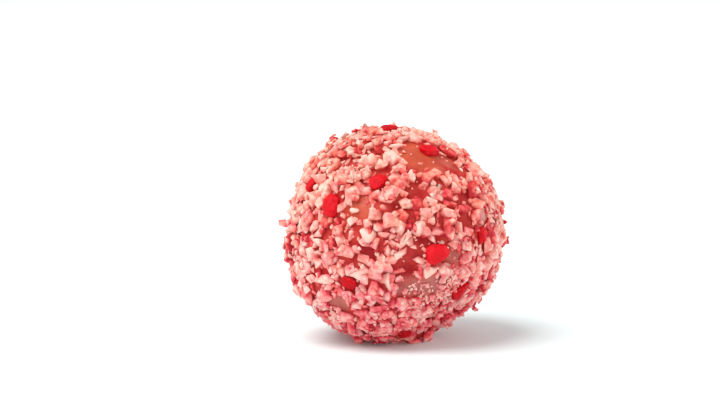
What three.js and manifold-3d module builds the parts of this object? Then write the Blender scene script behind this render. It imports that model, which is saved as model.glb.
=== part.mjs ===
// A doughnut hole: a ball of fried dough in a thin pink glaze, rolled in crushed pink crumbs and jelly bits.
// Sizes are in millimetres. +Z is up, the side that is shown faces -Y, and the origin is the middle of the
// flat spot that the ball rests on. The ball and the crumbs stuck to it are one solid.
import * as THREE from "three";
import { ConvexGeometry } from "three/addons/geometries/ConvexGeometry.js";
import { mergeVertices } from "three/addons/utils/BufferGeometryUtils.js";
import Module from "manifold-3d";

// The glazed ball without its crumbs
const ballRadius = 19.5;
const ballHeight = 19.6; // from the surface it rests on to its centre
const shownRadius = 20.2; // out to the middle of the crumbs, which is what is seen from the front
const ballDetail = 5; // how finely the ball's faces are divided
const restingSpot = { flat: 4.5, round: 8 }; // the flat spot's radius, and how far out the ball is round again

// The ball is looked at from the front and from this far above the horizon
const viewTilt = THREE.MathUtils.degToRad(8);

// Where the dough swells or is pressed in, as seen from the front: distances to the right of the ball's
// centre and above it, with the height of the swelling there and how far it spreads
const swellings = [
  { right: -17, up: 1, height: -0.6, spread: 8 },
  { right: 9.5, up: -16.5, height: -3, spread: 8 },
  { right: 17, up: -7, height: -0.8, spread: 6 },
  { right: -10, up: -14, height: 0.5, spread: 8 },
  { right: -11.5, up: 14.5, height: 1.7, spread: 8 },
  { right: -16.5, up: -9.5, height: 1.2, spread: 5 },
  { right: 15, up: 7, height: 0.5, spread: 7 },
  { right: 3, up: -8, height: -0.4, spread: 5 },
];

// Patches that shed their coarse crumbs, as seen from the front
const barePatches = [
  { right: 5, up: 15.2, radius: 4.4 },
  { right: -6.6, up: 4.6, radius: 2.6 },
  { right: 2.6, up: -9.4, radius: 2.3 },
  { right: 6.6, up: -9.8, radius: 2.4 },
  { right: -10.2, up: -12.4, radius: 1.8 },
  { right: 16.2, up: 4, radius: 1.8 },
  { right: 9.8, up: 14, radius: 2 },
  { right: 11.2, up: -4, radius: 1.6 },
];
const morePatches = { count: 20, largest: 2.6, smallest: 1.56 }; // on the sides that are turned away

// Wide gaps between the coarse crumbs
const wideGaps = [
  { right: 3.4, up: -3.6, radius: 1.8 },
  { right: 13.1, up: 2.8, radius: 2 },
  { right: 2.2, up: -6, radius: 1.8 },
  { right: -5.1, up: -2.9, radius: 1.6 },
  { right: -6.6, up: 1.5, radius: 1.2 },
  { right: 5.2, up: -0.4, radius: 1.3 },
  { right: -0.6, up: 5.2, radius: 1.2 },
  { right: 4, up: 8.2, radius: 1.7 },
  { right: 11.2, up: 12, radius: 2 },
  { right: 13, up: 6.8, radius: 1.6 },
];

// Where the crumbs are finer, and the longest crumb there
const fineZones = [
  { right: 9.5, up: -12.6, radius: 5.6 },
  { right: 18.5, up: 5, radius: 4 },
  { right: -18.5, up: -5, radius: 3.5 },
];
const moreFineZones = { count: 7, radius: 5.5 };
const longestFine = 2.9;

// Red jelly bits, as seen from the front: where they sit, their length and width, and their turn in degrees
const jellyBits = [
  { right: -11.7, up: 5.5, long: 4.6, wide: 3.4, turn: 95 },
  { right: -3, up: 9.9, long: 3.4, wide: 3, turn: 20 },
  { right: 6.5, up: 16, long: 4.2, wide: 2.9, turn: -10 },
  { right: 7.8, up: -3.1, long: 4.7, wide: 3.7, turn: 10 },
  { right: -8.4, up: -8.6, long: 3.5, wide: 2.5, turn: -30 },
  { right: -15.3, up: 9.2, long: 2.8, wide: 2.3, turn: 60 },
  { right: -1, up: 19.8, long: 3.8, wide: 3.4, turn: 20 },
  { right: 16.2, up: 0.2, long: 3.2, wide: 2.3, turn: 80 },
  { right: 13.3, up: -11.1, long: 4.4, wide: 2.6, turn: 62 },
  { right: 1.9, up: -19.4, long: 2.8, wide: 2.4, turn: -20 },
];
const moreJelly = { count: 16, longest: 4.2, shortest: 2.6 }; // on the sides that are turned away
const jellyWidth = [0.6, 0.8]; // of its length, on those sides
const jellyHeight = 0.72; // of its width

// The crumbs that stand out most, given in the same way
const boldCrumbs = [
  { right: -0.4, up: 15, long: 4.4, wide: 3, turn: 115 },
  { right: 6, up: 10.9, long: 3.9, wide: 3.4, turn: 40 },
  { right: -8, up: 8, long: 4.4, wide: 2.8, turn: -12 },
  { right: -1.1, up: 7.6, long: 4, wide: 3.4, turn: 60 },
  { right: 7.7, up: 7.9, long: 3.7, wide: 2.1, turn: 40 },
  { right: 6.2, up: 4.3, long: 4.3, wide: 3.5, turn: 75 },
  { right: -10.6, up: 1.2, long: 3.1, wide: 2.8, turn: 90 },
  { right: -5, up: 0.2, long: 3.2, wide: 2.6, turn: -40 },
  { right: -0.4, up: 2.9, long: 4.1, wide: 3.1, turn: 10 },
  { right: 1.4, up: -0.6, long: 4.2, wide: 2.5, turn: 65 },
  { right: -12.3, up: -4, long: 3.8, wide: 3, turn: 30 },
  { right: -8.4, up: -2.6, long: 4, wide: 3.1, turn: -25 },
  { right: -3.4, up: -9.8, long: 3.8, wide: 3.4, turn: 80 },
  { right: -9.4, up: -10.2, long: 4.8, wide: 2.6, turn: -18 },
  { right: -2, up: -13.4, long: 4.5, wide: 3.8, turn: 10 },
  { right: 6.4, up: -6.2, long: 4, wide: 2.6, turn: 20 },
  { right: -13.6, up: 13.2, long: 4.2, wide: 3.6, turn: 50 },
  { right: 13.2, up: -6.8, long: 3.6, wide: 3, turn: 15 },
  { right: -11.8, up: -1.3, long: 3.2, wide: 2.7, turn: 80 },
  { right: 14.2, up: 8.4, long: 3.8, wide: 3.2, turn: 20 },
  { right: 9.2, up: 1, long: 3.6, wide: 3, turn: 100 },
  { right: -13.3, up: 2, long: 3.6, wide: 2, turn: 50 },
  { right: 2, up: 3.4, long: 2.8, wide: 2.4, turn: 30 },
  { right: -6.8, up: -18.8, long: 4, wide: 3, turn: 10 },
  { right: -2.6, up: -19.2, long: 4, wide: 3, turn: -10 },
  { right: -13.9, up: -13.5, long: 3, wide: 2, turn: 40 },
  { right: 3, up: 11.2, long: 2.6, wide: 1.8, turn: 75 },
  { right: 9.6, up: 10.9, long: 2.9, wide: 1.8, turn: -60 },
  { right: 12.2, up: 9.4, long: 2.4, wide: 2.1, turn: 0 },
  { right: -3.9, up: 4.7, long: 2.2, wide: 1.7, turn: 70 },
  { right: -7.5, up: 4.7, long: 2, wide: 1.1, turn: 0 },
  { right: -8, up: 2.4, long: 2.4, wide: 2.1, turn: 80 },
  { right: 4.3, up: 1.6, long: 3.2, wide: 2.2, turn: 60 },
  { right: -15.6, up: -1, long: 3, wide: 2.6, turn: 75 },
  { right: -7.2, up: 14.8, long: 3, wide: 2.6, turn: 40 },
  { right: -12.6, up: 9.2, long: 3.6, wide: 2, turn: 70 },
  { right: -12.9, up: -8, long: 4.8, wide: 2, turn: -10 },
  { right: -1.4, up: -8.5, long: 3.8, wide: 1.6, turn: 100 },
  { right: -10.6, up: 15.9, long: 3.6, wide: 2.8, turn: 30 },
  { right: -7.2, up: 10.7, long: 3.2, wide: 2.4, turn: 10 },
  { right: -17.6, up: -6.4, long: 3.6, wide: 3, turn: 90 },
  { right: -10.7, up: -6.2, long: 3.4, wide: 2.6, turn: 80 },
  { right: -6.6, up: -7.1, long: 3.6, wide: 2, turn: -10 },
  { right: -6.2, up: -10.9, long: 3.8, wide: 3, turn: -50 },
  { right: 16.5, up: -5.7, long: 3.4, wide: 2.6, turn: 60 },
  { right: 9.9, up: 4, long: 3.6, wide: 2.6, turn: -10 },
  { right: 2.2, up: -16.4, long: 4.2, wide: 3, turn: 0 },
  { right: 5, up: -18.4, long: 3.6, wide: 2.8, turn: 10 },
  { right: -10.2, up: -17, long: 3.4, wide: 2.4, turn: 30 },
];

// The crumbs that cover the rest of the ball, the largest first
const crumbs = { count: 236, longest: 4.6, shortest: 2.6 };
const crumbWidth = [0.65, 0.95]; // of its length
const crumbHeight = [0.6, 0.95]; // of its width
const crumbTip = 0.6; // radians by which a crumb lies tipped, at most
const crowding = 0.4; // how near two crumbs may lie, of their two lengths added up
const sinking = 0.3; // of a crumb's height that lies in the glaze
const room = 0.3; // of a crumb's length that keeps clear of a bare patch
const tries = 300; // places tried for a crumb before it is left out
const seed = 7;

// The shapes that the crumbs take: broken lumps with a wide end and a narrower one, a few corners on each
const crumbShapes = {
  count: 14,
  fewest: 6, // corners
  most: 8,
  wideEnd: [0.8, 1], // how far out the corners are
  narrowEnd: [0.3, 0.9],
  endHeight: [0.5, 1],
  cornerTurn: [-0.35, 0.35], // radians by which a corner is out of its regular place
};
const leastTriangle = 0.03; // detail below this is smoothed away once the crumbs are joined on
const turnedAway = -0.1; // cosine of the angle to the front from which a place counts as turned away
const colour = 0xe0776f;

// Repeatable random numbers from 0 to 1, from Lehmer's multiplier and modulus
let drawn = seed;
function draw() {
  drawn = (drawn * 16807) % 2147483647;
  return drawn / 2147483647;
}

function between(low, high) {
  return low + (high - low) * draw();
}

function anyDirection() {
  const z = between(-1, 1);
  const around = between(0, 2 * Math.PI);
  const across = Math.sqrt(1 - z * z);
  return new THREE.Vector3(across * Math.cos(around), across * Math.sin(around), z);
}

// The direction from the ball's centre to a place that is seen from the front
const rightward = new THREE.Vector3(1, 0, 0);
const upward = new THREE.Vector3(0, Math.sin(viewTilt), Math.cos(viewTilt));
const forward = new THREE.Vector3(0, -Math.cos(viewTilt), Math.sin(viewTilt));
function seenAt({ right, up }) {
  const towards = Math.sqrt(Math.max(0, shownRadius ** 2 - right ** 2 - up ** 2));
  return new THREE.Vector3()
    .addScaledVector(rightward, right)
    .addScaledVector(upward, up)
    .addScaledVector(forward, towards)
    .normalize();
}

// The distance between two directions, measured straight through the ball
function apart(a, b) {
  return a.distanceTo(b) * ballRadius;
}

// The ball's surface in a direction from its centre
const swells = swellings.map((s) => ({ ...s, at: seenAt(s) }));
function surfaceAt(direction) {
  let radius = ballRadius;
  for (const { at, height, spread } of swells) {
    radius += height * Math.exp(-((apart(at, direction) / spread) ** 2));
  }
  const place = direction.clone().multiplyScalar(radius);
  place.z += ballHeight;
  if (place.z < ballHeight) {
    const out = Math.hypot(place.x, place.y);
    place.z *= THREE.MathUtils.smoothstep(out, restingSpot.flat, restingSpot.round);
  }
  return place;
}

function ballGeometry() {
  const ball = new THREE.IcosahedronGeometry(1, ballDetail);
  const places = ball.attributes.position;
  const direction = new THREE.Vector3();
  for (let i = 0; i < places.count; i++) {
    direction.fromBufferAttribute(places, i).normalize();
    const { x, y, z } = surfaceAt(direction);
    places.setXYZ(i, x, y, z);
  }
  return ball;
}

// A shape that fills a box 1 long, 1 wide and 1 high round the origin
function fittedToUnit(geometry) {
  geometry.center();
  geometry.computeBoundingBox();
  const size = geometry.boundingBox.getSize(new THREE.Vector3());
  return geometry.scale(1 / size.x, 1 / size.y, 1 / size.z);
}

// A broken lump, whose ends face along x, y or z by its index
function crumbShape(index) {
  const { fewest, most, wideEnd, narrowEnd, endHeight, cornerTurn } = crumbShapes;
  const corners = Math.floor(between(fewest, most + 1));
  const atWideEnd = Math.ceil(corners / 2);
  const points = [];
  for (let i = 0; i < corners; i++) {
    const isWide = i < atWideEnd;
    const share = isWide ? i / atWideEnd : (i - atWideEnd + 0.5) / (corners - atWideEnd);
    const around = 2 * Math.PI * share + between(...cornerTurn);
    const out = isWide ? between(...wideEnd) : between(...narrowEnd);
    const height = between(...endHeight) * (isWide ? -1 : 1);
    const point = [out * Math.cos(around), out * Math.sin(around), height];
    const facing = index % 3;
    points.push(new THREE.Vector3(...point.slice(facing), ...point.slice(0, facing)));
  }
  return fittedToUnit(new ConvexGeometry(points));
}

// A jelly bit: a blunt pebble
function jellyShape() {
  return fittedToUnit(new THREE.IcosahedronGeometry(0.5, 0));
}

// How a piece of this length, width and height lies on the ball, tipped and turned
function lyingAt(at, { long, wide, high, turn, tip }) {
  const across = new THREE.Vector3().crossVectors(upward, at).normalize();
  const along = new THREE.Vector3().crossVectors(at, across);
  const lie = new THREE.Matrix4().makeBasis(across, along, at);
  const turned = new THREE.Matrix4().makeRotationZ(turn);
  const tipped = new THREE.Matrix4().makeRotationX(tip);
  const sized = new THREE.Matrix4().makeScale(long, wide, high);
  const lifted = surfaceAt(at).addScaledVector(at, high * (0.5 - sinking));
  return lie.multiply(turned).multiply(tipped).multiply(sized).setPosition(lifted);
}

// Every piece on the ball, as its direction, its size and the shape it takes
const shapes = [];
for (let i = 0; i < crumbShapes.count; i++) {
  shapes.push(crumbShape(i));
}
const patches = [...barePatches, ...wideGaps].map((p) => ({ at: seenAt(p), radius: p.radius }));
const zones = fineZones.map((z) => ({ at: seenAt(z), radius: z.radius }));
const pieces = [];

function isTurnedAway(at) {
  return at.dot(forward) < turnedAway;
}

function addJelly(at, long, wide, turn) {
  pieces.push({ at, long, wide, high: wide * jellyHeight, turn, tip: 0, shape: jellyShape() });
}

function addCrumb(at, long, wide, turn) {
  const high = wide * between(...crumbHeight);
  const tip = between(-crumbTip, crumbTip);
  const shape = shapes[Math.floor(between(0, shapes.length))];
  pieces.push({ at, long, wide, high, turn, tip, shape });
}

// A direction with room for a piece of this length, or none
function freePlace(long, allowed) {
  for (let i = 0; i < tries; i++) {
    const at = anyDirection();
    const isClear = pieces.every((p) => apart(p.at, at) > crowding * (p.long + long));
    if (isClear && allowed(at)) {
      return at;
    }
  }
  return null;
}

for (const { right, up, long, wide, turn } of jellyBits) {
  addJelly(seenAt({ right, up }), long, wide, THREE.MathUtils.degToRad(turn));
}
for (const { right, up, long, wide, turn } of boldCrumbs) {
  addCrumb(seenAt({ right, up }), long, wide, THREE.MathUtils.degToRad(turn));
}
for (let i = 0; i < morePatches.count; i++) {
  const at = anyDirection();
  const radius = between(morePatches.smallest, morePatches.largest);
  if (isTurnedAway(at)) {
    patches.push({ at, radius });
  }
}
for (let i = 0; i < moreFineZones.count; i++) {
  const at = anyDirection();
  if (isTurnedAway(at)) {
    zones.push({ at, radius: moreFineZones.radius });
  }
}
for (let i = 0; i < moreJelly.count; i++) {
  const long = between(moreJelly.shortest, moreJelly.longest);
  const at = freePlace(long, isTurnedAway);
  addJelly(at, long, long * between(...jellyWidth), between(0, Math.PI));
}
for (let i = 0; i < crumbs.count; i++) {
  const long = THREE.MathUtils.lerp(crumbs.longest, crumbs.shortest, Math.sqrt(i / crumbs.count));
  const isCovered = (at) => patches.every((p) => apart(p.at, at) > p.radius + room * long);
  const isCoarse = (at) => long <= longestFine || zones.every((z) => apart(z.at, at) > z.radius);
  const at = freePlace(long, (place) => isCovered(place) && isCoarse(place));
  if (at) {
    addCrumb(at, long, long * between(...crumbWidth), between(0, Math.PI));
  }
}

// Joining
const wasm = await Module();
wasm.setup();

function solidOf(geometry) {
  const bare = geometry.clone();
  bare.deleteAttribute("normal");
  bare.deleteAttribute("uv");
  const merged = mergeVertices(bare, 1e-4);
  return new wasm.Manifold(
    new wasm.Mesh({
      numProp: 3,
      vertProperties: merged.attributes.position.array,
      triVerts: new Uint32Array(merged.index.array),
    }),
  );
}

function geometryOf(solid) {
  const { vertProperties, triVerts } = solid.getMesh();
  return new THREE.BufferGeometry()
    .setAttribute("position", new THREE.BufferAttribute(vertProperties, 3))
    .setIndex(new THREE.BufferAttribute(triVerts, 1));
}

// The ball with every piece stuck to it, cut level with the surface it rests on
function coatedBall() {
  let joined = solidOf(ballGeometry());
  for (const piece of pieces) {
    joined = joined.add(solidOf(piece.shape.clone().applyMatrix4(lyingAt(piece.at, piece))));
  }
  const below = new THREE.BoxGeometry(3 * ballRadius, 3 * ballRadius, ballRadius);
  below.translate(0, 0, -ballRadius / 2);
  const level = joined.subtract(solidOf(below)).simplify(leastTriangle);
  const bodies = level.decompose().sort((a, b) => b.volume() - a.volume());
  return geometryOf(bodies[0]);
}

const doughnutHole = new THREE.Group();
const coated = new THREE.Mesh(
  coatedBall(),
  new THREE.MeshStandardMaterial({ color: colour, roughness: 0.75, metalness: 0 }),
);
coated.name = "coated_ball";
doughnutHole.add(coated);

export default doughnutHole;
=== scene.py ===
import math
import random

import bmesh
import bpy
import numpy as np
from mathutils import Euler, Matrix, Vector, noise
from mathutils.bvhtree import BVHTree


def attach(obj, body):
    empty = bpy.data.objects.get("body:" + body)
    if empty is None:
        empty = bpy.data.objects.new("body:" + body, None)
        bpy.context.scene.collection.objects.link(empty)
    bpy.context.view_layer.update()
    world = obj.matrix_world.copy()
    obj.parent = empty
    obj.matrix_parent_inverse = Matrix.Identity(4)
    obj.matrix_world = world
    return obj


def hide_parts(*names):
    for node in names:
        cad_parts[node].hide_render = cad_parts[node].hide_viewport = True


# A doughnut hole: a glazed ball of dough rolled in crushed pink crumbs and red jelly bits.
# Shapes are worked out in millimetres and become metres when a mesh is made.

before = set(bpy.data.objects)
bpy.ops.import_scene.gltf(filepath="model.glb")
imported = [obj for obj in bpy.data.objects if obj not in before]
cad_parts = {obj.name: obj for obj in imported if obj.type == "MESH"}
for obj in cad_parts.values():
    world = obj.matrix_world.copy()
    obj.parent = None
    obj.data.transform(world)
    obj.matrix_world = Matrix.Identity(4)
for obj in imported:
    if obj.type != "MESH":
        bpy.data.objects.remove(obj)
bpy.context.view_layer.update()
mm = 0.001

# The ball

ball = {
    "radius": 19.5,            # without its crumbs
    "shownRadius": 20.2,       # out to the middle of the crumbs, which is what is seen from the front
    "centreHeight": 19.6,      # above the surface it rests on
    "restingSpot": (4.5, 8),   # the flat spot's radius, and how far out the ball is round again
    "pressedIn": 0.3,          # the glaze stays this far above the surface, on its pressed crumbs
    "divisions": 7,
    "swellings": [             # right, up, height, spread, as seen from the front
        (-17, 1, -0.6, 8),
        (9.5, -16.5, -3, 8),
        (17, -7, -0.8, 6),
        (-10, -14, 0.5, 8),
        (-11.5, 14.5, 1.7, 8),
        (-16.5, -9.5, 1.2, 5),
        (15, 7, 0.5, 7),
        (3, -8, -0.4, 5),
    ],
    "waves": (0.16, 0.16),     # height of the dough's unevenness, and how many waves to a millimetre
    "dimples": (0.035, 0.75),  # the same for the glaze's orange-peel skin
    "octaves": (0.8, 2, 3),    # of both: fall-off, step in size, how many
}

viewTilt = math.radians(8)
rightward = np.array([1.0, 0.0, 0.0])
upward = np.array([0.0, math.sin(viewTilt), math.cos(viewTilt)])
forward = np.array([0.0, -math.cos(viewTilt), math.sin(viewTilt)])
centre = np.array([0.0, 0.0, ball["centreHeight"]])


def unit(v):
    return v / np.linalg.norm(v)


def seenAt(right, up):
    # the direction from the centre to a place that is seen from the front
    towards = math.sqrt(max(0, ball["shownRadius"] ** 2 - right ** 2 - up ** 2))
    return unit(rightward * right + upward * up + forward * towards)


def apart(a, b):
    # distance through the ball between directions
    return np.linalg.norm(a - b, axis=-1) * ball["radius"]


swells = [(seenAt(right, up), height, spread) for right, up, height, spread in ball["swellings"]]


def surfaceAt(directions):
    radius = np.full(len(directions), ball["radius"])
    for at, height, spread in swells:
        radius += height * np.exp(-((apart(directions, at) / spread) ** 2))
    places = directions * radius[:, None] + centre
    flat, rounded = ball["restingSpot"]
    share = np.clip((np.hypot(places[:, 0], places[:, 1]) - flat) / (rounded - flat), 0, 1)
    low = places[:, 2] < ball["centreHeight"]
    places[low, 2] *= (share ** 2 * (3 - 2 * share))[low]
    return places


# Where the large crumbs and the jelly bits lie: the same rule and the same draws as in the solid

coating = {
    "seed": 7,
    "shapes": (14, 6, 8),                  # how many, with the fewest and most corners
    "wideEnd": (0.8, 1),                   # how far out the corners of a shape's two ends are
    "narrowEnd": (0.3, 0.9),
    "endHeight": (0.5, 1),
    "cornerTurn": (-0.35, 0.35),
    "crumbs": (236, 4.6, 2.6),             # how many, with the longest and shortest
    "crumbWidth": (0.65, 0.95),            # of its length
    "crumbHeight": (0.6, 0.95),            # of its width
    "tip": 0.6,
    "sinking": 0.3,                        # of its height
    "crowding": 0.4,
    "room": 0.3,                           # of its length, which keeps clear of bare patches
    "turnedAway": -0.1,                    # a place on the far side has a smaller cosine to the front
    "tries": 300,
    "jelly": (16, 4.2, 2.6),               # how many on the far side, with the longest and shortest
    "jellyWidth": (0.6, 0.8),              # of its length, on the far side
    "jellyHeight": 0.72,                   # of its width
    "bare": (20, 1.56, 2.6),               # how many bare patches on the far side, and their radius
    "fine": (7, 5.5),                      # the same for zones of finer crumbs
    "longestFine": 2.9,
}

# Patches that shed their coarse crumbs: right, up, radius, how brown the glaze is there
barePatches = [
    (5, 15.2, 4.4, 1),
    (-6.6, 4.6, 2.6, 1),
    (2.6, -9.4, 2.3, 0.1),
    (6.6, -9.8, 2.4, 0.05),
    (-10.2, -12.4, 1.8, 0.3),
    (16.2, 4, 1.8, 0.35),
    (9.8, 14, 2, 0.5),
    (11.2, -4, 1.6, 0.4),
]

# Wide gaps between the coarse crumbs: right, up, radius, and how much painted shade darkens the glaze
# there
wideGaps = [
    (3.4, -3.6, 1.8, 0.9),
    (13.1, 2.8, 2, 0.6),
    (2.2, -6, 1.8, 1),
    (-5.1, -2.9, 1.6, 1),
    (-6.6, 1.5, 1.2, 0.4),
    (5.2, -0.4, 1.3, 0.9),
    (-0.6, 5.2, 1.2, 0.3),
    (4, 8.2, 1.7, 0.6),
    (11.2, 12, 2, 0.3),
    (13, 6.8, 1.6, 0.7),
]

# Zones of finer crumbs: right, up, radius
fineZones = [
    (9.5, -12.6, 5.6),
    (18.5, 5, 4),
    (-18.5, -5, 3.5),
]

# Jelly bits: right, up, long, wide, turn
jellyBits = [
    (-11.7, 5.5, 4.6, 3.4, 95),
    (-3, 9.9, 3.4, 3, 20),
    (6.5, 16, 4.2, 2.9, -10),
    (7.8, -3.1, 4.7, 3.7, 10),
    (-8.4, -8.6, 3.5, 2.5, -30),
    (-15.3, 9.2, 2.8, 2.3, 60),
    (-1, 19.8, 3.8, 3.4, 20),
    (16.2, 0.2, 3.2, 2.3, 80),
    (13.3, -11.1, 4.4, 2.6, 62),
    (1.9, -19.4, 2.8, 2.4, -20),
]

# The crumbs that stand out most: right, up, long, wide, turn, how pale
boldCrumbs = [
    (-0.4, 15, 4.4, 3, 115, 0.85),
    (6, 10.9, 3.9, 3.4, 40, 0.45),
    (-8, 8, 4.4, 2.8, -12, 0.6),
    (-1.1, 7.6, 4, 3.4, 60, 0.7),
    (7.7, 7.9, 3.7, 2.1, 40, 0.85),
    (6.2, 4.3, 4.3, 3.5, 75, 0.8),
    (-10.6, 1.2, 3.1, 2.8, 90, 0.6),
    (-5, 0.2, 3.2, 2.6, -40, 1),
    (-0.4, 2.9, 4.1, 3.1, 10, 0.6),
    (1.4, -0.6, 4.2, 2.5, 65, 0.75),
    (-12.3, -4, 3.8, 3, 30, 0.55),
    (-8.4, -2.6, 4, 3.1, -25, 0.6),
    (-3.4, -9.8, 3.8, 3.4, 80, 0.35),
    (-9.4, -10.2, 4.8, 2.6, -18, 0.5),
    (-2, -13.4, 4.5, 3.8, 10, 0.3),
    (6.4, -6.2, 4, 2.6, 20, 0.85),
    (-13.6, 13.2, 4.2, 3.6, 50, 0.5),
    (13.2, -6.8, 3.6, 3, 15, 0.5),
    (-11.8, -1.3, 3.2, 2.7, 80, 0.12),
    (14.2, 8.4, 3.8, 3.2, 20, 0.12),
    (9.2, 1, 3.6, 3, 100, 0.18),
    (-13.3, 2, 3.6, 2, 50, 0.08),
    (2, 3.4, 2.8, 2.4, 30, 0.2),
    (-6.8, -18.8, 4, 3, 10, 0.25),
    (-2.6, -19.2, 4, 3, -10, 0.2),
    (-13.9, -13.5, 3, 2, 40, 0.2),
    (3, 11.2, 2.6, 1.8, 75, 0.85),
    (9.6, 10.9, 2.9, 1.8, -60, 0.75),
    (12.2, 9.4, 2.4, 2.1, 0, 0.6),
    (-3.9, 4.7, 2.2, 1.7, 70, 0.95),
    (-7.5, 4.7, 2, 1.1, 0, 1),
    (-8, 2.4, 2.4, 2.1, 80, 0.8),
    (4.3, 1.6, 3.2, 2.2, 60, 0.85),
    (-15.6, -1, 3, 2.6, 75, 0.04),
    (-7.2, 14.8, 3, 2.6, 40, 0.2),
    (-12.6, 9.2, 3.6, 2, 70, 0.85),
    (-12.9, -8, 4.8, 2, -10, 0.85),
    (-1.4, -8.5, 3.8, 1.6, 100, 0.9),
    (-10.6, 15.9, 3.6, 2.8, 30, 0.55),
    (-7.2, 10.7, 3.2, 2.4, 10, 0.85),
    (-17.6, -6.4, 3.6, 3, 90, 0.9),
    (-10.7, -6.2, 3.4, 2.6, 80, 0.55),
    (-6.6, -7.1, 3.6, 2, -10, 0.9),
    (-6.2, -10.9, 3.8, 3, -50, 0.55),
    (16.5, -5.7, 3.4, 2.6, 60, 0.75),
    (9.9, 4, 3.6, 2.6, -10, 0.6),
    (2.2, -16.4, 4.2, 3, 0, 0.35),
    (5, -18.4, 3.6, 2.8, 10, 0.35),
    (-10.2, -17, 3.4, 2.4, 30, 0.3),
]


def lehmer(seed):
    while True:
        seed = seed * 16807 % 2147483647
        yield seed / 2147483647


draws = lehmer(coating["seed"])


def between(low, high):
    return low + (high - low) * next(draws)


def anyDirection(pick):
    z = pick(-1, 1)
    around = pick(0, 2 * math.pi)
    across = math.sqrt(1 - z * z)
    return np.array([across * math.cos(around), across * math.sin(around), z])


def crumbCorners(index, pick):
    # the corners of a broken lump with a wide end and a narrower one, which face along x, y or z
    fewest, most = coating["shapes"][1:]
    corners = math.floor(pick(fewest, most + 1))
    wideEnd = math.ceil(corners / 2)
    points = []
    for i in range(corners):
        isWide = i < wideEnd
        share = i / wideEnd if isWide else (i - wideEnd + 0.5) / (corners - wideEnd)
        around = 2 * math.pi * share + pick(*coating["cornerTurn"])
        out = pick(*coating["wideEnd"]) if isWide else pick(*coating["narrowEnd"])
        height = pick(*coating["endHeight"]) * (-1 if isWide else 1)
        point = (out * math.cos(around), out * math.sin(around), height)
        points.append(point[index % 3:] + point[:index % 3])
    return points


hulls = [crumbCorners(i, between) for i in range(coating["shapes"][0])]
patches = [(seenAt(right, up), radius, brown, 0) for right, up, radius, brown in barePatches]
# each wide gap carries how much painted shade darkens the glaze in it
patches += [(seenAt(right, up), radius, None, gapShade) for right, up, radius, gapShade in wideGaps]
zones = [(seenAt(right, up), radius) for right, up, radius in fineZones]
crumbs = []
jelly = []
taken = {"at": [], "long": []}


def take(at, long):
    taken["at"].append(at)
    taken["long"].append(long)


def addJelly(at, long, wide, turn):
    take(at, long)
    size = (long, wide, wide * coating["jellyHeight"])
    jelly.append({"at": at, "size": size, "turn": turn, "tip": 0})


def addCrumb(at, long, wide, turn, pale=None):
    take(at, long)
    size = (long, wide, wide * between(*coating["crumbHeight"]))
    tip = between(-coating["tip"], coating["tip"])
    shape = math.floor(between(0, len(hulls)))
    crumbs.append({"at": at, "size": size, "turn": turn, "tip": tip, "shape": shape, "pale": pale})


def freePlace(long, allowed):
    for _ in range(coating["tries"]):
        at = anyDirection(between)
        room = apart(np.array(taken["at"]), at) - coating["crowding"] * (np.array(taken["long"]) + long)
        if room.min() > 0 and allowed(at):
            return at
    return None


def isTurnedAway(at):
    return at @ forward < coating["turnedAway"]


def isCovered(place, long):
    # clear of the bare patches
    return all(apart(at, place) > radius + coating["room"] * long for at, radius, *_ in patches)


def isCoarse(place, long):
    return long <= coating["longestFine"] or all(apart(at, place) > radius for at, radius in zones)


def layCoating():
    for right, up, long, wide, turn in jellyBits:
        addJelly(seenAt(right, up), long, wide, math.radians(turn))
    for right, up, long, wide, turn, pale in boldCrumbs:
        addCrumb(seenAt(right, up), long, wide, math.radians(turn), pale)
    count, smallest, largest = coating["bare"]
    for _ in range(count):
        at = anyDirection(between)
        radius = between(smallest, largest)
        if isTurnedAway(at):
            patches.append((at, radius, 0.5 + 0.5 * at[2], 0))     # browner higher up
    count, radius = coating["fine"]
    for _ in range(count):
        at = anyDirection(between)
        if isTurnedAway(at):
            zones.append((at, radius))
    count, longest, shortest = coating["jelly"]
    for _ in range(count):
        long = between(shortest, longest)
        at = freePlace(long, isTurnedAway)
        addJelly(at, long, long * between(*coating["jellyWidth"]), between(0, math.pi))
    count, longest, shortest = coating["crumbs"]
    for i in range(count):
        long = longest + (shortest - longest) * math.sqrt(i / count)
        at = freePlace(long, lambda place: isCovered(place, long) and isCoarse(place, long))
        if at is not None:
            addCrumb(at, long, long * between(*coating["crumbWidth"]), between(0, math.pi))


layCoating()
print("coating laid out:", len(crumbs), "large crumbs,", len(jelly), "jelly bits,",
      len(patches), "bare patches")

# How thickly the finer crumbs lie, and how pale each crumb is, with painted light that makes the left
# side and the rim paler

chance = random.Random(23)

thinPatches = {
    "waves": 0.3,              # to a millimetre
    "sparsity": 0.27,          # the lower, the more of the ball they take up
    "higher": 0.12,            # how much more of them there are towards the top
    "rim": 0.1,                # how much less round the rim
    "shed": 0.8,               # share of the finer crumbs that they lack
}

paleness = {
    "deepShare": 0.1,          # share of crumbs that are deep red
    "deep": (0.02, 0.25),      # how pale those are
    "patches": (0.25, 0.25),   # how much paler some patches are, and their waves to a millimetre
    "left": 0.04,              # how much paler the left side is, which faces the key light: painted light
    "rim": 0.2,                # how much paler the rim is: painted rim light
    "dimming": 0.045,          # taken off all over
    "underneath": (0.55, 0.7),  # how far down crumbs start to be deeper, and how fast
    "spread": 0.11,
    "palest": 0.93,
}


def rimShare(at):
    # 1 round the rim, as seen from the front or the back, and 0 in the middle
    return (1 - at[1] ** 2) ** 2


def isThin(at):
    threshold = thinPatches["higher"] * at[2] - thinPatches["sparsity"]
    threshold -= thinPatches["rim"] * rimShare(at)
    thickness = noise.noise(Vector(at * ball["radius"] * thinPatches["waves"]))
    return thickness < threshold and chance.random() < thinPatches["shed"]


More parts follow.
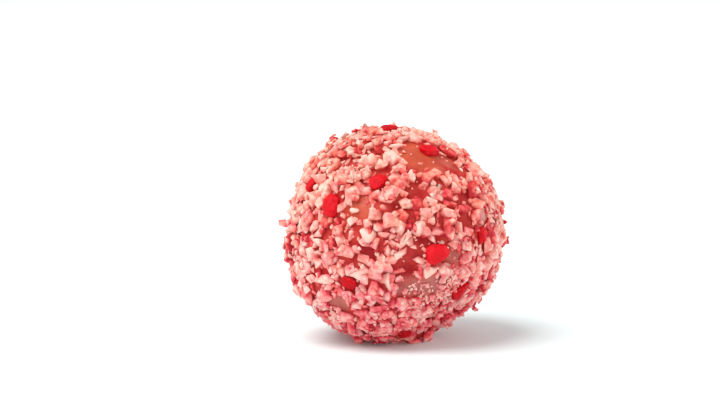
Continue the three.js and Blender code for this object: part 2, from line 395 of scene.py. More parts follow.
def palePick(at, middle, deepShare=paleness["deepShare"]):
    if chance.random() < deepShare:
        return chance.uniform(*paleness["deep"])
    change, waves = paleness["patches"]
    depth, deepening = paleness["underneath"]
    # painted light: paler towards the left, where the key light comes from, and round the rim
    middle += change * noise.noise(Vector(at * ball["radius"] * waves)) - paleness["left"] * at[0]
    middle += paleness["rim"] * rimShare(at) - paleness["dimming"]
    middle -= deepening * max(0, -depth - at[2])
    return min(paleness["palest"], max(0, chance.gauss(middle, paleness["spread"])))


# Shapes that the crumbs are copies of, each of which fills a box 1 long, 1 wide and 1 high

crumbOctaves = (0.6, 2.1, 3)   # of the noise that roughens them: fall-off, step in size, how many
noiseShift = (-50, 50)         # along x, y and z
shapeMap = 0.94                # how much of its half of a square a shape's map fills

lumps = {
    "broken": {"bevel": (0.02, 0.05), "longestEdge": 0.35, "rough": (0.045, 2.2)},
    "rounded": {"cuts": 2, "smoothings": 2, "rough": (0.1, 1.8)},
    "knobbly": {"core": 0.85, "bits": 7, "bitSize": (0.25, 0.45), "bevel": 0.03, "rough": (0.04, 3)},
    "clumped": {"core": 0.75, "bits": 3, "bitSize": (0.45, 0.7), "bevel": 0.03, "rough": (0.04, 2.2)},
    "chip": {"bitSize": (0.5, 0.75), "bevel": 0.03, "rough": (0.05, 2)},
    "bit": (1, 0.8, 0.7),      # length, width and height of a bit that is stuck on
}


def fitToUnit(bm):
    # fills a box 1 long, 1 wide and 1 high round the origin
    places = np.array([v.co for v in bm.verts])
    low, high = places.min(axis=0), places.max(axis=0)
    bmesh.ops.translate(bm, verts=bm.verts, vec=-(low + high) / 2)
    bmesh.ops.scale(bm, verts=bm.verts, vec=1 / (high - low))


def hullOf(points):
    bm = bmesh.new()
    for point in points:
        bm.verts.new(point)
    hull = bmesh.ops.convex_hull(bm, input=bm.verts)
    inside = [v for v in hull["geom_interior"] if isinstance(v, bmesh.types.BMVert)]
    bmesh.ops.delete(bm, geom=inside, context="VERTS")
    fitToUnit(bm)
    return bm


def roughen(bm, amount, waves):
    # each corner moves along its normal by fractal noise, from a different stretch of it each time
    away = Vector([chance.uniform(*noiseShift) for _ in range(3)])
    bm.normal_update()
    moves = [v.normal * amount * noise.fractal(v.co * waves + away, *crumbOctaves) for v in bm.verts]
    for v, move in zip(bm.verts, moves):
        v.co += move


def asShape(bm):
    # arrays of corners and triangles, and a flat map: the top on the left, the underside on the right
    bmesh.ops.triangulate(bm, faces=bm.faces)
    bmesh.ops.recalc_face_normals(bm, faces=bm.faces)
    bm.normal_update()
    places = np.array([v.co for v in bm.verts])
    bm.verts.index_update()
    triangles = np.array([[v.index for v in f.verts] for f in bm.faces])
    below = np.array([f.normal.z < 0 for f in bm.faces])
    flat = places[triangles][:, :, :2] * shapeMap + 0.5
    flat[:, :, 0] = np.where(below[:, None], 0.5, 0) + flat[:, :, 0] / 2
    bm.free()
    return {"places": places, "triangles": triangles, "map": flat}


def bevelEdges(bm, width):
    bmesh.ops.bevel(bm, geom=bm.edges[:], offset=width, offset_type="OFFSET", affect="EDGES",
                    segments=1, profile=0.5, material=-1)


def splitLongEdges(bm, longest):
    bmesh.ops.subdivide_edges(bm, edges=[e for e in bm.edges if e.calc_length() > longest], cuts=1)


def brokenShape(points, form):
    # a chunk with worn edges
    bm = hullOf(points)
    bevelEdges(bm, chance.uniform(*form["bevel"]))
    bmesh.ops.triangulate(bm, faces=bm.faces)
    splitLongEdges(bm, form["longestEdge"])
    roughen(bm, *form["rough"])
    fitToUnit(bm)
    return asShape(bm)


def roundedShape(points, form):
    # a tumbled lump
    bm = hullOf(points)
    bmesh.ops.subdivide_edges(bm, edges=bm.edges[:], cuts=form["cuts"], use_grid_fill=True)
    bmesh.ops.triangulate(bm, faces=bm.faces)
    for _ in range(form["smoothings"]):
        bmesh.ops.smooth_vert(bm, verts=bm.verts, factor=0.5,
                              use_axis_x=True, use_axis_y=True, use_axis_z=True)
    fitToUnit(bm)
    roughen(bm, *form["rough"])
    fitToUnit(bm)
    return asShape(bm)


def stickOn(bm, count, sizes):
    # smaller bits at the corners of a lump
    roots = [v.co.copy() for v in bm.verts]
    for _ in range(count):
        size = chance.uniform(*sizes)
        turn = Euler([chance.uniform(0, 2 * math.pi) for _ in range(3)]).to_matrix()
        bit = hullOf(crumbCorners(0, chance.uniform))
        bmesh.ops.scale(bit, verts=bit.verts, vec=[size * share for share in lumps["bit"]])
        bmesh.ops.rotate(bit, verts=bit.verts, matrix=turn)
        bmesh.ops.translate(bit, verts=bit.verts, vec=chance.choice(roots))
        loose = bpy.data.meshes.new("bit")
        bit.to_mesh(loose)
        bit.free()
        bm.from_mesh(loose)
        bpy.data.meshes.remove(loose)


def grownShape(points, form):
    # a lump with bits stuck to it: many small ones make it knobbly, and a few large ones a clump
    bm = hullOf(points)
    bmesh.ops.scale(bm, verts=bm.verts, vec=[form["core"]] * 3)
    stickOn(bm, form["bits"], form["bitSize"])
    bevelEdges(bm, form["bevel"])
    roughen(bm, *form["rough"])
    fitToUnit(bm)
    return asShape(bm)


def chipShape(index, form):
    # a small broken lump, half of them with another stuck on
    bm = hullOf(crumbCorners(index, chance.uniform))
    stickOn(bm, index % 2, form["bitSize"])
    bevelEdges(bm, form["bevel"])
    roughen(bm, *form["rough"])
    fitToUnit(bm)
    return asShape(bm)


def grainShape(index):
    # the finest crumbs
    return asShape(hullOf(crumbCorners(index, chance.uniform)))


flakeForm = {
    "corners": (6, 7, 8),
    "cornerTurn": (-0.3, 0.3),
    "out": (0.3, 0.5),         # how far out the corners are
    "thick": 0.16,
    "bend": (-0.5, 0.5),
    "longestEdge": 0.25,
    "rough": (0.05, 3),
}


def flakeShape(form):
    # a thin, slightly bent flake with a ragged rim
    bm = bmesh.new()
    corners = chance.choice(form["corners"])
    rim = []
    for i in range(corners):
        angle = 2 * math.pi * (i + chance.uniform(*form["cornerTurn"])) / corners
        out = chance.uniform(*form["out"])
        rim.append(bm.verts.new((out * math.cos(angle), out * math.sin(angle), 0)))
    face = bm.faces.new(rim)
    grown = bmesh.ops.extrude_face_region(bm, geom=[face])
    lifted = [v for v in grown["geom"] if isinstance(v, bmesh.types.BMVert)]
    bmesh.ops.translate(bm, verts=lifted, vec=(0, 0, form["thick"]))
    bmesh.ops.recalc_face_normals(bm, faces=bm.faces)
    bmesh.ops.triangulate(bm, faces=bm.faces)
    splitLongEdges(bm, form["longestEdge"])
    bmesh.ops.triangulate(bm, faces=bm.faces)
    bend = chance.uniform(*form["bend"])
    for v in bm.verts:
        v.co.z += bend * v.co.x ** 2
    roughen(bm, *form["rough"])
    return asShape(bm)


jellyForm = {"divisions": 4, "blunt": 0.92, "dents": (0.16, 1.3), "grain": (0.02, 6)}


def jellyShape(form):
    # a blunt lump of set jelly with shallow dents
    bm = bmesh.new()
    bmesh.ops.create_icosphere(bm, subdivisions=form["divisions"], radius=0.5)
    for v in bm.verts:
        v.co = [math.copysign(abs(2 * c) ** form["blunt"], c) / 2 for c in v.co]
    roughen(bm, *form["dents"])
    roughen(bm, *form["grain"])
    fitToUnit(bm)
    return asShape(bm)


shapeCounts = {"chip": 30, "grain": 24, "flake": 12, "jelly": 8}
shapes = {
    "broken": [brokenShape(h, lumps["broken"]) for h in hulls],
    "rounded": [roundedShape(h, lumps["rounded"]) for h in hulls],
    "knobbly": [grownShape(h, lumps["knobbly"]) for h in hulls],
    "clumped": [grownShape(h, lumps["clumped"]) for h in hulls],
    "chip": [chipShape(i, lumps["chip"]) for i in range(shapeCounts["chip"])],
    "grain": [grainShape(i) for i in range(shapeCounts["grain"])],
    "flake": [flakeShape(flakeForm) for _ in range(shapeCounts["flake"])],
    "jelly": [jellyShape(jellyForm) for _ in range(shapeCounts["jelly"])],
}
print("shapes made:", {kind: len(made[0]["triangles"]) for kind, made in shapes.items()})


# Copies of a shape, laid on the ball and joined into one mesh

mapMargin = 0.04               # round each copy's square of the map
noSharpEdge = 180              # degrees between faces, past which an edge shows


def lyingOn(normal, size, turn, tip):
    # the matrix that turns, tips and sizes a shape on a surface that faces along normal
    across = unit(np.cross(upward, normal))
    along = np.cross(normal, across)
    cosTurn, sinTurn = math.cos(turn), math.sin(turn)
    cosTip, sinTip = math.cos(tip), math.sin(tip)
    lie = np.column_stack([across, along, normal])
    turned = np.array([[cosTurn, -sinTurn, 0], [sinTurn, cosTurn, 0], [0, 0, 1]])
    tipped = np.array([[1, 0, 0], [0, cosTip, -sinTip], [0, sinTip, cosTip]])
    return lie @ turned @ tipped @ np.diag(size)


def copyOf(shape, place, matrix, pale):
    places = shape["places"] @ matrix.T + place
    outward = unit(place - centre)
    heights = (places - place) @ outward
    # the rise of each corner within its crumb, which the crumb material uses for painted shade at the
    # foot
    rise = (heights - heights.min()) / np.ptp(heights)
    places[:, 2] = np.maximum(places[:, 2], 0)     # pressed level with the surface underneath
    return {"shape": shape, "places": places, "pale": pale, "rise": rise}


def joined(copies):
    # one long list of corners and triangles
    counts = [len(c["places"]) for c in copies]
    starts = np.concatenate([[0], np.cumsum(counts)[:-1]]).astype(int)
    places = np.concatenate([c["places"] for c in copies])
    triangles = np.concatenate([c["shape"]["triangles"] + start for c, start in zip(copies, starts)])
    return places, triangles, counts


def writeAttribute(mesh, name, values):
    attribute = mesh.attributes.new(name, "FLOAT", "POINT")
    attribute.data.foreach_set("value", np.asarray(values, np.float32))


def makePiece(name, places, triangles, material, smooth=None):
    mesh = bpy.data.meshes.new(name)
    mesh.from_pydata((places * mm).tolist(), [], triangles.tolist())
    mesh.update()
    piece = bpy.data.objects.new(name, mesh)
    bpy.context.scene.collection.objects.link(piece)
    mesh.polygons.foreach_set("use_smooth", [smooth is not None] * len(mesh.polygons))
    if smooth:
        mesh.set_sharp_from_angle(angle=math.radians(smooth))
    mesh.materials.append(material)
    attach(piece, "root")
    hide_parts("coated_ball")
    return piece


def makeScatter(name, copies, material, smooth=None):
    # each copy has its own square of the map
    places, triangles, counts = joined(copies)
    piece = makePiece(name, places, triangles, material, smooth)
    writeAttribute(piece.data, "pale", np.repeat([c["pale"] for c in copies], counts))
    writeAttribute(piece.data, "rise", np.concatenate([c["rise"] for c in copies]))
    side = math.ceil(math.sqrt(len(copies)))
    squares = [(i % side, i // side) for i in range(len(copies))]
    inner = 1 - 2 * mapMargin
    flat = [(c["shape"]["map"] * inner + mapMargin + at) / side for c, at in zip(copies, squares)]
    layer = piece.data.uv_layers.new(name="OFBake")
    layer.data.foreach_set("uv", np.concatenate(flat).ravel().astype(np.float32))
    print(name + ":", len(copies), "copies,", len(triangles), "triangles")


# Materials

def startMaterial(name):
    material = bpy.data.materials.new(name)
    material.use_nodes = True
    nodes = material.node_tree.nodes
    nodes.clear()
    output = nodes.new("ShaderNodeOutputMaterial")
    shader = nodes.new("ShaderNodeBsdfPrincipled")
    material.node_tree.links.new(shader.outputs["BSDF"], output.inputs["Surface"])
    where = nodes.new("ShaderNodeTexCoord").outputs["Object"]
    return material, shader, where


def join(material, source, target):
    material.node_tree.links.new(source, target)


def noiseFrom(material, where, size, detail):
    # patches about as wide as size, in millimetres
    node = material.node_tree.nodes.new("ShaderNodeTexNoise")
    node.inputs["Scale"].default_value = 1 / (size * mm)
    node.inputs["Detail"].default_value = detail
    join(material, where, node.inputs["Vector"])
    return node.outputs["Fac"]


mostNoise = (0.3, 0.7)         # the stretch that most of a noise's values are in


def spread(material, source, to, start=(0, 1)):
    # values between the ends of start become values between the ends of to
    node = material.node_tree.nodes.new("ShaderNodeMapRange")
    for name, value in zip(("From Min", "From Max", "To Min", "To Max"), (*start, *to)):
        node.inputs[name].default_value = value
    join(material, source, node.inputs["Value"])
    return node.outputs["Result"]


def patchy(material, where, size, detail, change):
    # noise that adds up to change in some patches, and takes it away in others
    return spread(material, noiseFrom(material, where, size, detail), (-change, change), mostNoise)


def addUp(material, first, second):
    node = material.node_tree.nodes.new("ShaderNodeMath")
    node.operation = "ADD"
    join(material, first, node.inputs[0])
    join(material, second, node.inputs[1])
    return node.outputs["Value"]


def coloursAlong(material, source, stops):
    node = material.node_tree.nodes.new("ShaderNodeValToRGB")
    ramp = node.color_ramp
    while len(ramp.elements) < len(stops):
        ramp.elements.new(0.5)
    for element, (position, colour) in zip(ramp.elements, stops):
        element.position = position
        element.color = (*colour, 1)
    join(material, source, node.inputs["Fac"])
    return node.outputs["Color"]


def mixColours(material, share, first, second):
    node = material.node_tree.nodes.new("ShaderNodeMix")
    node.data_type = "RGBA"
    join(material, share, node.inputs["Factor"])
    join(material, first, node.inputs["A"])
    join(material, second, node.inputs["B"])
    return node.outputs["Result"]


def attributeOf(material, name):
    node = material.node_tree.nodes.new("ShaderNodeAttribute")
    node.attribute_name = name
    return node.outputs["Fac"]


def addBump(material, shader, where, size, detail, distance, strength):
    node = material.node_tree.nodes.new("ShaderNodeBump")
    node.inputs["Distance"].default_value = distance * mm
    node.inputs["Strength"].default_value = strength
    join(material, noiseFrom(material, where, size, detail), node.inputs["Height"])
    join(material, node.outputs["Normal"], shader.inputs["Normal"])


def addGlow(shader, weight, colour, depth):
    # light that goes in and comes out again nearby
    shader.inputs["Subsurface Weight"].default_value = weight
    shader.inputs["Subsurface Radius"].default_value = colour
    shader.inputs["Subsurface Scale"].default_value = depth * mm


crumbLook = {
    "pink": [
        (0, (0.5, 0.02, 0.038)),
        (0.25, (0.72, 0.082, 0.11)),
        (0.5, (0.76, 0.21, 0.217)),
        (0.75, (0.78, 0.355, 0.33)),
        (1, (0.81, 0.51, 0.45)),
    ],
    "peach": [
        (0, (0.5, 0.024, 0.028)),
        (0.25, (0.72, 0.094, 0.073)),
        (0.5, (0.77, 0.228, 0.165)),
        (0.75, (0.79, 0.365, 0.285)),
        (1, (0.82, 0.52, 0.425)),
    ],
    "hues": (2.4, 2, 0.4),     # patches of pink and peach: width, detail, change
    "peachHeights": (0.008, 0.034),  # metres up, from mostly pink to mostly peach
    "peachShares": (0.1, 0.9),
    "blotch": (1.1, 3, 0.3),   # width, detail, change in paleness
    "grain": (0.4, 2, 0.04),
    "paintedFootShade": (-0.6, 0.12),      # painted shade: change in paleness from the foot of a crumb, where it meets the glaze, to its top, which is a little paler
    "footEnds": (0.1, 0.9),    # the share of its height over which that happens
    "roughness": (0.7, 0.9),
    "specular": 0.25,
    "glow": (0.6, (1, 0.88, 0.82), 0.4),    # weight, colour, depth in millimetres
    "bump": (0.3, 3, 0.1, 0.35),            # width, detail, height, strength
}


def crumbMaterial(name, look):
    material, shader, where = startMaterial(name)
    blotch = patchy(material, where, *look["blotch"])
    grain = patchy(material, where, *look["grain"])
    # painted shade, darker towards the foot of each crumb by the rise of its corners
    paintedFootShade = spread(material, attributeOf(material, "rise"), look["paintedFootShade"], look["footEnds"])
    tone = attributeOf(material, "pale")
    for change in (blotch, grain, paintedFootShade):
        tone = addUp(material, tone, change)
    pink = coloursAlong(material, tone, look["pink"])
    peach = coloursAlong(material, tone, look["peach"])
    split = material.node_tree.nodes.new("ShaderNodeSeparateXYZ")
    join(material, where, split.inputs["Vector"])
    higher = spread(material, split.outputs["Z"], look["peachShares"], look["peachHeights"])
    warm = addUp(material, higher, patchy(material, where, *look["hues"]))
    join(material, mixColours(material, warm, pink, peach), shader.inputs["Base Color"])
    grainChange = look["grain"][2]
    roughness = spread(material, grain, look["roughness"], (-grainChange, grainChange))
    join(material, roughness, shader.inputs["Roughness"])
    shader.inputs["Specular IOR Level"].default_value = look["specular"]
    addGlow(shader, *look["glow"])
    addBump(material, shader, where, *look["bump"])
    return material


glazeLook = {
    "plain": [(0.35, (0.42, 0.018, 0.018)), (0.7, (0.6, 0.075, 0.055))],     # between the crumbs
    "gapShade": [(0.35, (0.28, 0.011, 0.014)), (0.7, (0.42, 0.03, 0.03))],       # in wide gaps: a darker glaze, painted shade of the crumbs round them
    "mauve": [(0.3, (0.35, 0.08, 0.07)), (0.7, (0.46, 0.135, 0.11))],        # in bare patches
    "brown": [(0.3, (0.43, 0.05, 0.022)), (0.7, (0.55, 0.085, 0.038))],
    "mottle": (2.2, 4),        # width, detail
    "roughness": (0.28, 0.45),
    "specular": (0.04, 0.35),  # between the crumbs, and in bare patches
    "glow": (0.3, (1.4, 0.4, 0.3), 1),
    "bump": (0.6, 3, 0.1, 0.35),
}


def glazeMaterial(look):
    material, shader, where = startMaterial("pinkGlaze")
    mottle = noiseFrom(material, where, *look["mottle"])
    names = ("plain", "gapShade", "mauve", "brown")
    plain, gapShade, mauve, brown = (coloursAlong(material, mottle, look[name]) for name in names)
    # in the wide gaps the glaze takes a darker colour, which is painted shade
    gap = mixColours(material, attributeOf(material, "gapShade"), plain, gapShade)
    patch = mixColours(material, attributeOf(material, "brown"), mauve, brown)
    bare = attributeOf(material, "bare")
    join(material, mixColours(material, bare, gap, patch), shader.inputs["Base Color"])
    join(material, spread(material, mottle, look["roughness"], mostNoise), shader.inputs["Roughness"])
    join(material, spread(material, bare, look["specular"]), shader.inputs["Specular IOR Level"])
    addGlow(shader, *look["glow"])
    addBump(material, shader, where, *look["bump"])
    return material


jellyLook = {
    "stops": [(0.2, (0.36, 0.002, 0.006)), (0.8, (0.64, 0.006, 0.014))],
    "cloud": (0.9, 3),         # width, detail
    "change": (-0.3, 0.3),     # from the deepest bit to the brightest
    "roughness": (0.45, 0.6),
    "specular": 0.12,
    "glow": (0.6, (1.5, 0.06, 0.06), 1.2),
    "bump": (0.5, 2, 0.08, 0.25),
}


def jellyMaterial(look):
    material, shader, where = startMaterial("redJelly")
    cloud = noiseFrom(material, where, *look["cloud"])
    change = spread(material, attributeOf(material, "pale"), look["change"])
    tone = addUp(material, cloud, change)
    join(material, coloursAlong(material, tone, look["stops"]), shader.inputs["Base Color"])
    join(material, spread(material, cloud, look["roughness"], mostNoise), shader.inputs["Roughness"])
    shader.inputs["Specular IOR Level"].default_value = look["specular"]
    addGlow(shader, *look["glow"])
    addBump(material, shader, where, *look["bump"])
    return material


pinkCrumb = crumbMaterial("pinkCrumb", crumbLook)
# the fine crumbs get less painted shade at the foot, and a shallower glow
fineLook = {**crumbLook, "paintedFootShade": (-0.25, 0.12), "glow": (0.6, (1, 0.88, 0.82), 0.1)}
fineCrumb = crumbMaterial("fineCrumb", fineLook)
pinkGlaze = glazeMaterial(glazeLook)
redJelly = jellyMaterial(jellyLook)


# The glazed ball

# How the colours of the glaze run out round each bare patch or gap, by the distance from its middle
patchRims = {
    "ragged": (0.8, 0.35),     # how far the rims go in and out, and how many waves to a millimetre
    "gapShade": (1.6, 0.8),        # painted shade in the gaps: the first minus the second times the distance in radii, at most 1
    "bare": (1.9, 1.3),
    "blend": (0.6, 0.2, 4),    # nearness by which patches share a colour: offset, least, power
}


def makeBall():
    bm = bmesh.new()
    bmesh.ops.create_icosphere(bm, subdivisions=ball["divisions"], radius=1)
    directions = np.array([v.co for v in bm.verts])
    triangles = np.array([[v.index for v in f.verts] for f in bm.faces])
    bm.free()
    directions /= np.linalg.norm(directions, axis=1)[:, None]
    places = surfaceAt(directions)
    relief = np.zeros(len(places))
    for height, waves in (ball["waves"], ball["dimples"]):
        relief += [height * noise.fractal(Vector(p) * waves, *ball["octaves"]) for p in places]
    places += directions * relief[:, None]
    places[:, 2] = np.maximum(places[:, 2], ball["pressedIn"])
    piece = makePiece("glazedBall", places, triangles, pinkGlaze, noSharpEdge)
    height, waves = patchRims["ragged"]
    ragged = np.array([height * noise.fractal(Vector(p) * waves, *ball["octaves"]) for p in places])
    bare = np.zeros(len(places))
    gapShade = np.zeros(len(places))
    brown = np.zeros(len(places))
    weight = np.full(len(places), 1e-6)        # never zero
    shadeStart, shadeFall = patchRims["gapShade"]
    bareStart, bareFall = patchRims["bare"]
    offset, least, power = patchRims["blend"]
    for at, radius, brownHere, gapShadeHere in patches:
        away = apart(directions, at) / radius + ragged
        # painted shade, deepest in the middle of each wide gap
        gapShade = np.maximum(gapShade, gapShadeHere * np.clip(shadeStart - shadeFall * away, 0, 1))
        if brownHere is not None:
            bare = np.maximum(bare, np.clip(bareStart - bareFall * away, 0, 1))
            closeness = 1 / np.maximum(least, offset + away) ** power
            brown += brownHere * closeness
            weight += closeness
    bare *= 1 - gapShade
    writeAttribute(piece.data, "bare", bare)
    writeAttribute(piece.data, "gapShade", gapShade)
    writeAttribute(piece.data, "brown", brown / weight)
    print("glazedBall:", len(triangles), "triangles")
    return places, triangles


ballPlaces, ballTriangles = makeBall()

# The large crumbs and the jelly bits, where the solid has them


def layPiece(piece, shape, pale):
    matrix = lyingOn(piece["at"], piece["size"], piece["turn"], piece["tip"])
    lift = piece["size"][2] * (0.5 - coating["sinking"])
    return copyOf(shape, surfaceAt(piece["at"][None])[0] + piece["at"] * lift, matrix, pale)


largeCrumbs = {
    "mostly": (4, 3, 2, 3),        # shares of broken, rounded, knobbly and clumped ones
    "onTheLeft": (1, 5, 2, 2),
    "underneath": (1, 4, 1, 2),
    "leftFrom": -0.45,             # of the ball's radius
    "underneathFrom": -0.6,
    "pale": 0.58,
    "smooth": 60,                  # degrees between faces, past which an edge shows
}
kinds = {"broken": [], "rounded": [], "knobbly": [], "clumped": []}


def sharesAt(at):
    if at[2] < largeCrumbs["underneathFrom"]:
        return largeCrumbs["underneath"]
    return largeCrumbs["onTheLeft" if at[0] < largeCrumbs["leftFrom"] else "mostly"]


for crumb in crumbs:
    kind = chance.choices(list(kinds), sharesAt(crumb["at"]))[0]
    pale = palePick(crumb["at"], largeCrumbs["pale"]) if crumb["pale"] is None else crumb["pale"]
    kinds[kind].append(layPiece(crumb, shapes[kind][crumb["shape"]], pale))
jellyCopies = [layPiece(bit, chance.choice(shapes["jelly"]), chance.random()) for bit in jelly]

smooth = largeCrumbs["smooth"]
makeScatter("brokenCrumbs", kinds["broken"], pinkCrumb, smooth)
makeScatter("roundedCrumbs", kinds["rounded"], pinkCrumb, smooth)
makeScatter("knobblyCrumbs", kinds["knobbly"], pinkCrumb, smooth)
makeScatter("clumpedCrumbs", kinds["clumped"], pinkCrumb, smooth)
makeScatter("jellyBits", jellyCopies, redJelly, noSharpEdge)

# Smaller crumbs, dropped from outside onto what lies there

dropping = {
    "from": 60,                # from the ball's middle
    "jellySize": 1.15,         # jelly bits count as this much longer, as crumbs keep off them
    "lean": 0.6,               # how far a crumb leans with the face that it lands on
}


def treeOf(copies):
    # a search tree of the ball and these copies, whose first triangles are the ball's
    places, triangles, _ = joined(copies)
    return BVHTree.FromPolygons(
        np.concatenate([ballPlaces, places]).tolist(),
        np.concatenate([ballTriangles, triangles + len(ballPlaces)]).tolist(),
        all_triangles=True,
    )


def nearTo(at, distance):
    # a direction within this many millimetres of another
    aside = np.array([chance.gauss(0, 1) for _ in range(3)])
    aside = unit(aside - at * (aside @ at))
    return unit(at + aside * math.sqrt(chance.random()) * distance / ball["radius"])


def within(at, places):
    # 1 in the middle of a patch or zone, 0 outside all of them
    return max(max(0, 1 - apart(middle, at) / radius) for middle, radius, *_ in places)


class Scatter:
    # crumbs of one kind that keep some distance from each other
    def __init__(self, tree, crowding):
        self.tree = tree
        self.crowding = crowding
        self.ats = np.array([bit["at"] for bit in jelly])
        self.longs = np.array([bit["size"][0] * dropping["jellySize"] for bit in jelly])
        self.copies = []

    def drop(self, at, long, shape, size, pale, sinking, tip, onCrumbs):
        if (apart(self.ats, at) < self.crowding * (self.longs + long)).any():
            return
        start = Vector(centre + at * dropping["from"])
        place, normal, index, _ = self.tree.ray_cast(start, Vector(-at))
        if place is None or (index >= len(ballTriangles) and chance.random() > onCrumbs):
            return
        facing = unit(np.array(normal) * dropping["lean"] + at)
        matrix = lyingOn(facing, size, chance.uniform(0, 2 * math.pi), tip)
        lifted = np.array(place) + facing * size[2] * (0.5 - sinking)
        self.copies.append(copyOf(shape, lifted, matrix, pale))
        self.ats = np.vstack([self.ats, at])
        self.longs = np.append(self.longs, long)


chips = {
    "tries": 13000,
    "long": (1.15, 3.3),
    "fallOff": 0.6,            # how soon the later ones are short
    "fineLong": 1.6,           # the longest in zones of finer crumbs
    "room": 0.1,               # of its length, which keeps clear of bare patches
    "spill": 0.25,             # share of a shaded gap's radius that they spill into
    "ragged": (0.6, 0.5),      # how far a bare patch's rim goes in and out, and its waves to a millimetre
    "wide": (0.45, 0.95),      # of its length
    "high": (0.45, 0.95),      # of its width
    "tip": (-1, 1),
    "sinking": 0.25,
    "pale": 0.6,
    "onCrumbs": 0.4,           # share of those that fall on a crumb and stay there
    "longOnCrumbs": 1.9,       # the longest that stays there
    "crowding": 0.3,
    "smooth": 60,
}


def depthInPatch(at):
    # how far a place lies inside the nearest bare patch, whose rim is ragged; gaps with painted shade are
    # narrower
    change, waves = chips["ragged"]
    ragged = change * noise.noise(Vector(at * ball["radius"] * waves))
    depths = []
    for middle, radius, _, gapShade in patches:
        depths.append(radius * (1 - chips["spill"] * gapShade) - apart(middle, at))
    return max(depths) + ragged


def dropChips(tree):
    scatter = Scatter(tree, chips["crowding"])
    shortest, longest = chips["long"]
    for i in range(chips["tries"]):
        at = anyDirection(chance.uniform)
        long = longest + (shortest - longest) * (i / chips["tries"]) ** chips["fallOff"]
        isFine = within(at, zones) > 0
        if depthInPatch(at) > -chips["room"] * long or (isFine and long > chips["fineLong"]):
            continue
        if not isFine and isThin(at):
            continue
        wide = long * chance.uniform(*chips["wide"])
        size = (long, wide, wide * chance.uniform(*chips["high"]))
        shape = chance.choice(shapes["chip"])
        onCrumbs = chips["onCrumbs"] if long < chips["longOnCrumbs"] else 0
        pale = palePick(at, chips["pale"])
        tip = chance.uniform(*chips["tip"])
        scatter.drop(at, long, shape, size, pale, chips["sinking"], tip, onCrumbs)
    return scatter.copies


flakes = {
    "most": 24,
    "long": (1.6, 3),
    "wide": (0.5, 0.9),        # of its length
    "tip": (0.2, 0.8),
    "sinking": 0.35,
    "pale": 0.65,
    "onCrumbs": 0.8,
    "crowding": 0.3,
    "smooth": 35,
    "standing": [              # on edge at the rim: right, up, long, wide, turn, tip, how pale
        (-20, 2.2, 2, 4.4, 90, 75, 0.5),
    ],
    "standingLift": 1.4,       # above the glaze, among the crumbs
}


def standFlake(right, up, long, wide, turn, tip, pale):
    at = seenAt(right, up)
    matrix = lyingOn(at, (long, wide, long), math.radians(turn), math.radians(tip))
    place = surfaceAt(at[None])[0] + at * flakes["standingLift"]
    return copyOf(shapes["flake"][0], place, matrix, pale)


def dropFlakes(tree):
    scatter = Scatter(tree, flakes["crowding"])
    while len(scatter.copies) < flakes["most"]:
        at = anyDirection(chance.uniform)
        if within(at, patches) > 0 or within(at, zones) > 0:
            continue
        long = chance.uniform(*flakes["long"])
        size = (long, long * chance.uniform(*flakes["wide"]), long)
        tip = chance.choice((-1, 1)) * chance.uniform(*flakes["tip"])
        shape = chance.choice(shapes["flake"])
        pale = palePick(at, flakes["pale"], 0)
        scatter.drop(at, long, shape, size, pale, flakes["sinking"], tip, flakes["onCrumbs"])
    return scatter.copies + [standFlake(*flake) for flake in flakes["standing"]]


grains = {
    "tries": 26000,
    "long": (0.45, 1.2),
    "wide": (0.65, 0.95),
    "high": (0.65, 0.95),
    "tip": (-0.7, 0.7),
    "sinking": 0.2,
    "pale": 0.62,
    "zoneRim": 0.1,            # share of a zone's radius at its rim that counts as outside
    "inPatches": 0.02,         # share kept where the glaze is bare
    "elsewhere": 0.07,         # share kept outside the zones of finer crumbs
    "onCrumbs": 0.35,
    "crowding": 0.3,
}

# Clusters of pale grains: right, up, radius, count, how pale
clusters = [
    (-6.8, 11.8, 2.4, 90, 0.95),
    (4.6, -11.4, 3.2, 70, 0.85),
    (10, -9, 2.2, 40, 0.75),
    (-10.6, -14.4, 1.8, 30, 0.85),
    (-2, -16.8, 2.4, 40, 0.75),
]


def dropGrain(scatter, at, pale, onCrumbs):
    shortest, longest = grains["long"]
    long = shortest + (longest - shortest) * chance.random() ** 2
    wide = long * chance.uniform(*grains["wide"])
    size = (long, wide, wide * chance.uniform(*grains["high"]))
    shape = chance.choice(shapes["grain"])
    tip = chance.uniform(*grains["tip"])
    scatter.drop(at, long, shape, size, pale, grains["sinking"], tip, onCrumbs)


def dropGrains(tree):
    scatter = Scatter(tree, grains["crowding"])
    for right, up, radius, count, pale in clusters:
        middle = seenAt(right, up)
        for _ in range(count):
            dropGrain(scatter, nearTo(middle, radius), palePick(middle, pale, 0), 1)
    for _ in range(grains["tries"]):
        at = anyDirection(chance.uniform)
        kept = 1 if within(at, zones) > grains["zoneRim"] else grains["elsewhere"]
        if within(at, patches) > 0:
            kept = grains["inPatches"]
        if chance.random() < kept:
            dropGrain(scatter, at, palePick(at, grains["pale"]), grains["onCrumbs"])
    return scatter.copies


laid = sum(kinds.values(), jellyCopies)
chipCopies = dropChips(treeOf(laid))
makeScatter("chippedCrumbs", chipCopies, pinkCrumb, chips["smooth"])
flakeCopies = dropFlakes(treeOf(laid + chipCopies))
makeScatter("flakes", flakeCopies, pinkCrumb, flakes["smooth"])
grainCopies = dropGrains(treeOf(laid + chipCopies + flakeCopies))
makeScatter("fineCrumbs", grainCopies, fineCrumb)

# The floor, the light and the camera

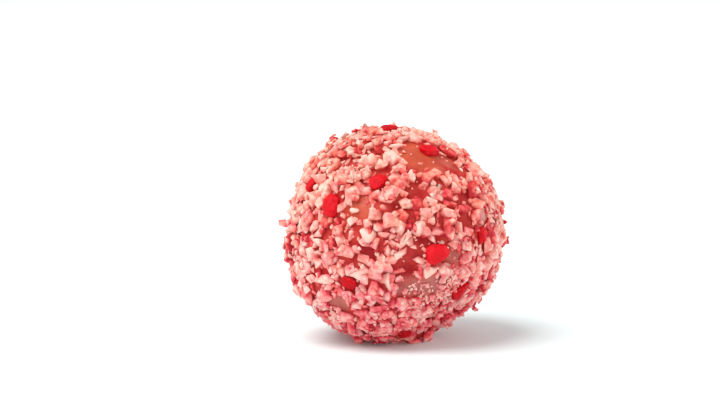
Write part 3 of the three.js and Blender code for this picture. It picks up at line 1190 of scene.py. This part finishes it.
studio = {
    "floorRadius": 8,                  # metres
    "floorSides": 96,
    "floorHeight": -0.00002,           # just below the flat undersides of the crumbs
    "floorColour": (0.84, 0.93, 0.93),
    "floorRoughness": 0.8,
    "floorSpecular": 0.1,
    "world": 0.42,
    "lightsAimAt": (0, 0, 0.02),
    "keyFrom": (-0.4, -0.28, 0.87),    # direction from the ball
    "keyDistance": 3,
    "keySpread": 40,                   # degrees across, as seen from the ball
    "keyPower": 2.65,                  # watts to a square metre
    "softLights": [                    # name, direction from the ball, distance, size, watts
        ("fillLight", (0.1, -0.95, 0.03), 3.2, 1.8, 66),
        ("leftLight", (-0.9, 0.1, 0.2), 2.2, 1.4, 12),
        ("rightLight", (0.8, 0.35, 0.3), 2.2, 1.4, 26),
    ],
}


def makeFloor():
    bm = bmesh.new()
    sides, radius = studio["floorSides"], studio["floorRadius"]
    bmesh.ops.create_circle(bm, cap_ends=True, segments=sides, radius=radius)
    bmesh.ops.translate(bm, verts=bm.verts, vec=(0, 0, studio["floorHeight"]))
    mesh = bpy.data.meshes.new("floor")
    bm.to_mesh(mesh)
    bm.free()
    floor = bpy.data.objects.new("floor", mesh)
    bpy.context.scene.collection.objects.link(floor)
    material = bpy.data.materials.new("floor")
    material.use_nodes = True
    shader = material.node_tree.nodes["Principled BSDF"]
    shader.inputs["Base Color"].default_value = (*studio["floorColour"], 1)
    shader.inputs["Roughness"].default_value = studio["floorRoughness"]
    shader.inputs["Specular IOR Level"].default_value = studio["floorSpecular"]
    mesh.materials.append(material)


def aimAt(thing, place):
    thing.rotation_euler = (Vector(place) - thing.location).to_track_quat("-Z", "Y").to_euler()


def hangLight(name, light, direction, distance):
    lamp = bpy.data.objects.new(name, light)
    bpy.context.scene.collection.objects.link(lamp)
    lamp.location = Vector(direction).normalized() * distance
    aimAt(lamp, studio["lightsAimAt"])


def makeKeyLight():
    # a broad light from far away, which lights the floor evenly out to its edge
    light = bpy.data.lights.new("keyLight", "SUN")
    light.angle = math.radians(studio["keySpread"])
    light.energy = studio["keyPower"]
    hangLight("keyLight", light, studio["keyFrom"], studio["keyDistance"])


def makeSoftLight(name, direction, distance, size, power):
    light = bpy.data.lights.new(name, "AREA")
    light.shape = "DISK"
    light.size = size
    light.energy = power
    hangLight(name, light, direction, distance)


def makeWorld():
    world = bpy.data.worlds.new("studio")
    bpy.context.scene.world = world
    world.use_nodes = True
    background = world.node_tree.nodes["Background"]
    background.inputs["Color"].default_value = (1, 1, 1, 1)
    background.inputs["Strength"].default_value = studio["world"]


view = {
    "frame": (720, 400),               # pixels
    "ballAt": (395, 236),              # the pixel that shows the ball's middle, from the left and the top
    "pixel": 0.19,                     # millimetres at the ball
    "lens": 100,                       # millimetres
    "sensor": 36,
    "nearest": 0.01,                   # metres from the camera at which things start to show
}


def makeCamera():
    pixel = view["pixel"]
    width, height = view["frame"]
    across, down = view["ballAt"]
    distance = view["lens"] / view["sensor"] * width * pixel * mm
    camera = bpy.data.objects.new("camera", bpy.data.cameras.new("camera"))
    bpy.context.scene.collection.objects.link(camera)
    camera.data.lens = view["lens"]
    camera.data.sensor_width = view["sensor"]
    camera.data.clip_start = view["nearest"]
    middle = Vector(centre * mm)
    camera.location = middle + Vector(forward) * distance
    left = (across - width / 2) * pixel * mm
    above = (down - height / 2) * pixel * mm
    aimAt(camera, middle - Vector(rightward) * left + Vector(upward) * above)
    bpy.context.scene.camera = camera


makeFloor()
makeWorld()
makeKeyLight()
for softLight in studio["softLights"]:
    makeSoftLight(*softLight)
makeCamera()
bpy.context.scene.view_settings.view_transform = "Standard"
print("floor, light and camera placed")
